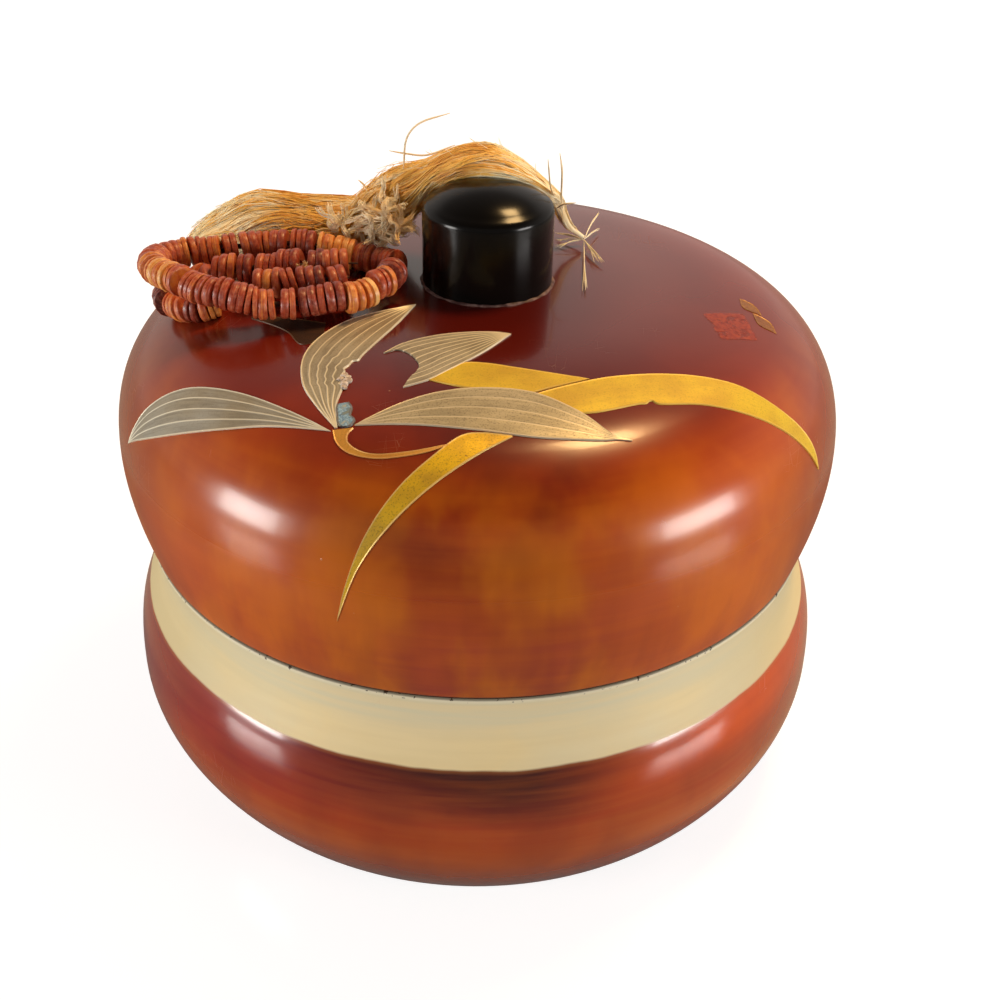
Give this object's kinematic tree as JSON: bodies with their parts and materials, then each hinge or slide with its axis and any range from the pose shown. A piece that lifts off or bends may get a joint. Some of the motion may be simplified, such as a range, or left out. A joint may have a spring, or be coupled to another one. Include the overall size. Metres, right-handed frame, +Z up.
{
  "type": "lacquer trinket box",
  "caption": "Round bulging lacquered box with a lift-off domed lid and short knob; a coiled bead strand with a fibre tassel rests on the lid.",
  "frame": {"origin": "centre of the foot, on the surface the box stands on", "axes": "+Z up through the knob, +X to the right of a viewer who faces the painted front and looks along +Y"},
  "size_m": [0.132, 0.132, 0.1154],
  "materials": {
    "brown_lacquer": "glossy amber to red-brown lacquer over turned wood, brushed and slightly mottled, with a cream band on the base",
    "black_lacquer": "glossy black lacquer",
    "bead_shell": "polished red-brown to orange disc beads",
    "tassel_fibre": "loose gold-blond silky fibre",
    "silver_leaf": "tarnished silver relief with fine veins",
    "gold_paint": "burnished gold relief"
  },
  "bodies": {
    "root": {"box_base": "brown_lacquer", "lid": "brown_lacquer", "knob": "black_lacquer", "bead_strand": "bead_shell", "fibre_tassel": "tassel_fibre"}
  },
  "joints": []
}
